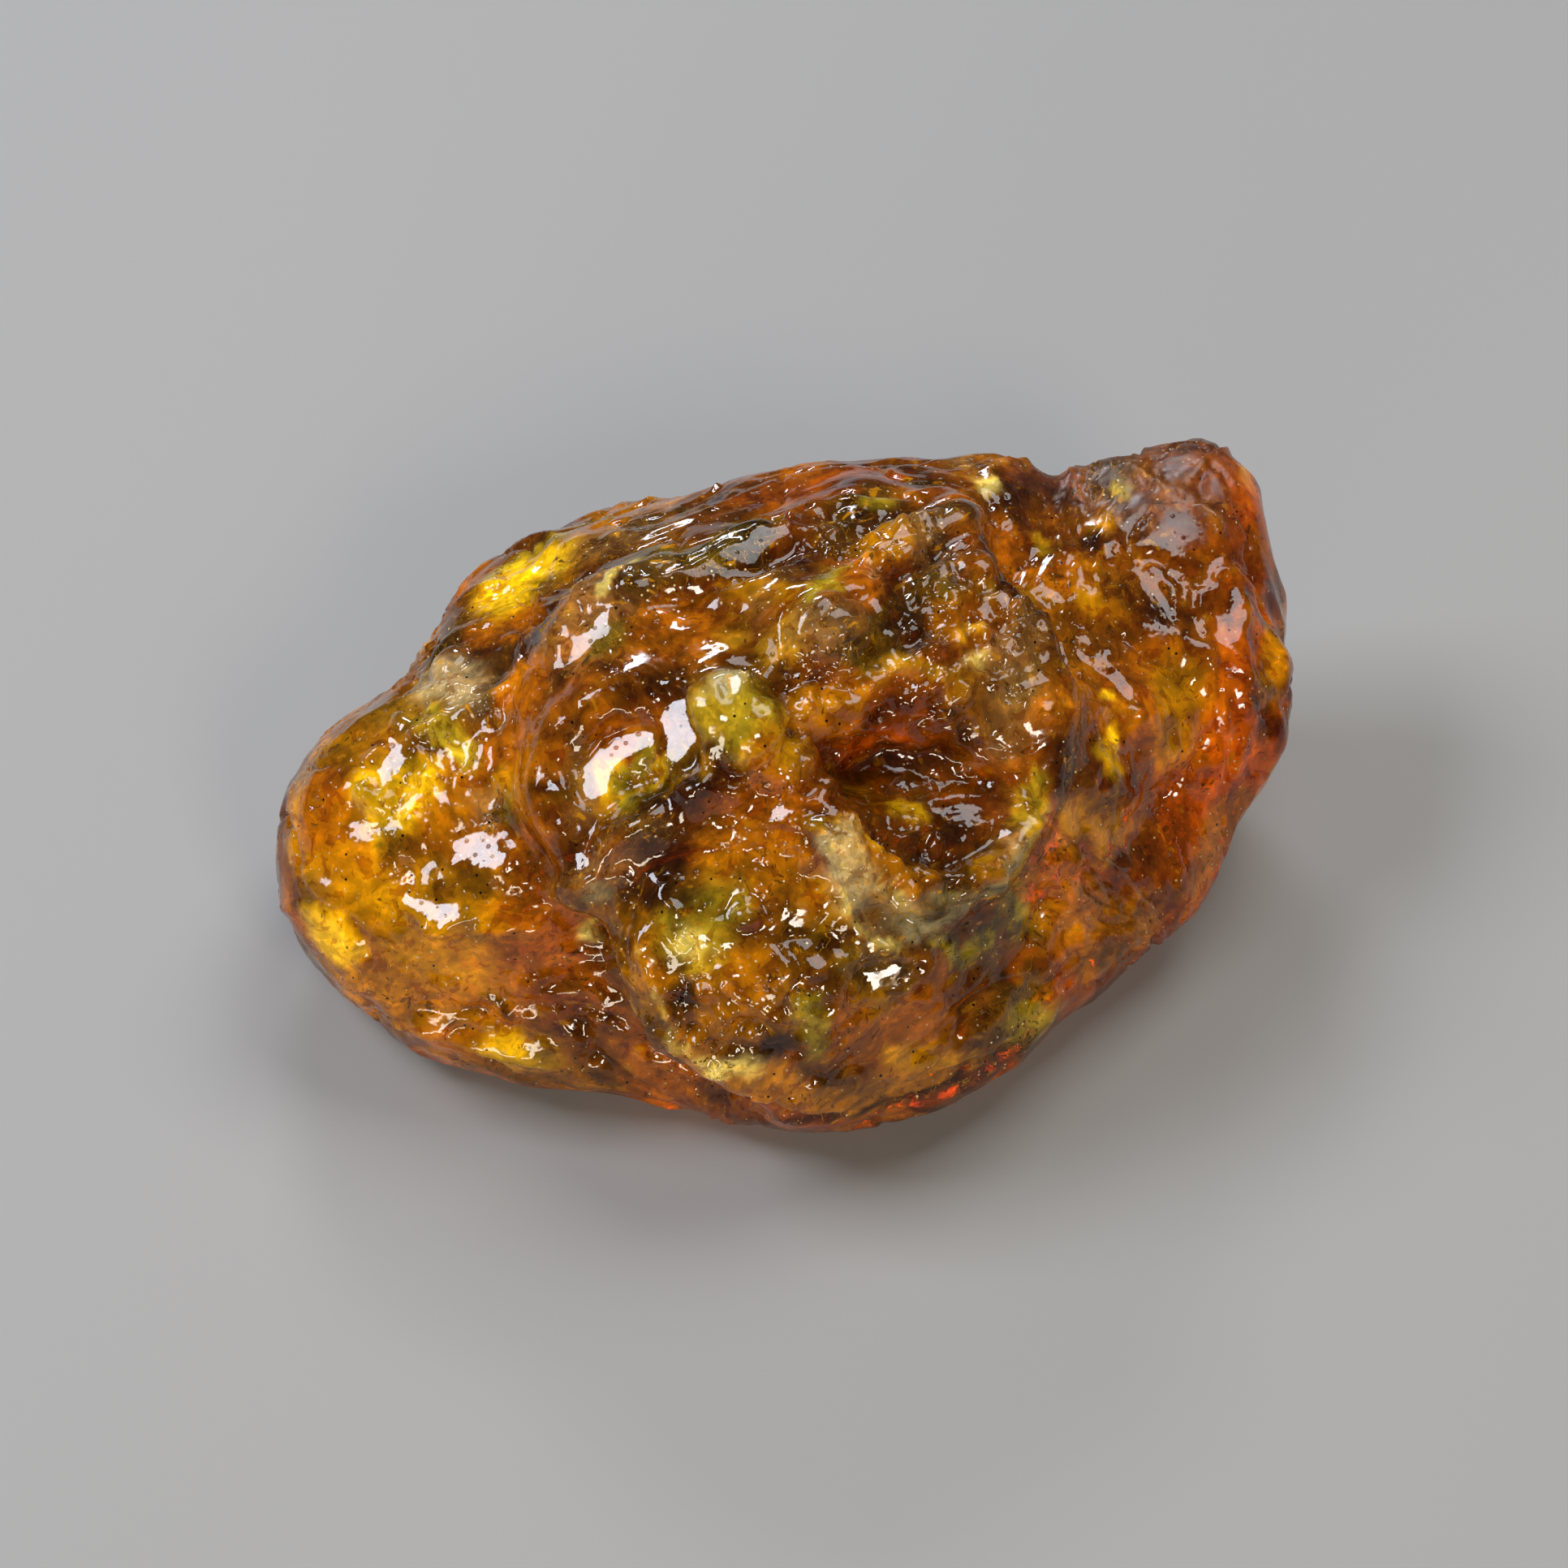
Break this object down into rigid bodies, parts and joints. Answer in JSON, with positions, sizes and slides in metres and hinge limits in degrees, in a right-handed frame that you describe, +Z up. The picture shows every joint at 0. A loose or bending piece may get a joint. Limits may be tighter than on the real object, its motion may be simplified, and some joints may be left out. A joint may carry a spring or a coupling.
{
  "type": "raw amber piece",
  "caption": "Hand-sized rough lump of raw amber with folds, creases, swollen bubbles and a glassy pocket, worn flat underneath so that it rests.",
  "frame": {"origin": "on the resting plane, below the middle of the lump's box", "axes": "+X along the length, from the golden lobe to the knob; +Z up; -Y the side with the overhanging fold"},
  "size_m": [0.084, 0.056, 0.038],
  "materials": {
    "amber": "clear to cloudy amber with a wet gloss, honey and golden to deep red-brown, with milky flows, dark debris, bubbles and crackle inside"
  },
  "bodies": {
    "root": {"amber_nugget": "amber"}
  },
  "joints": []
}
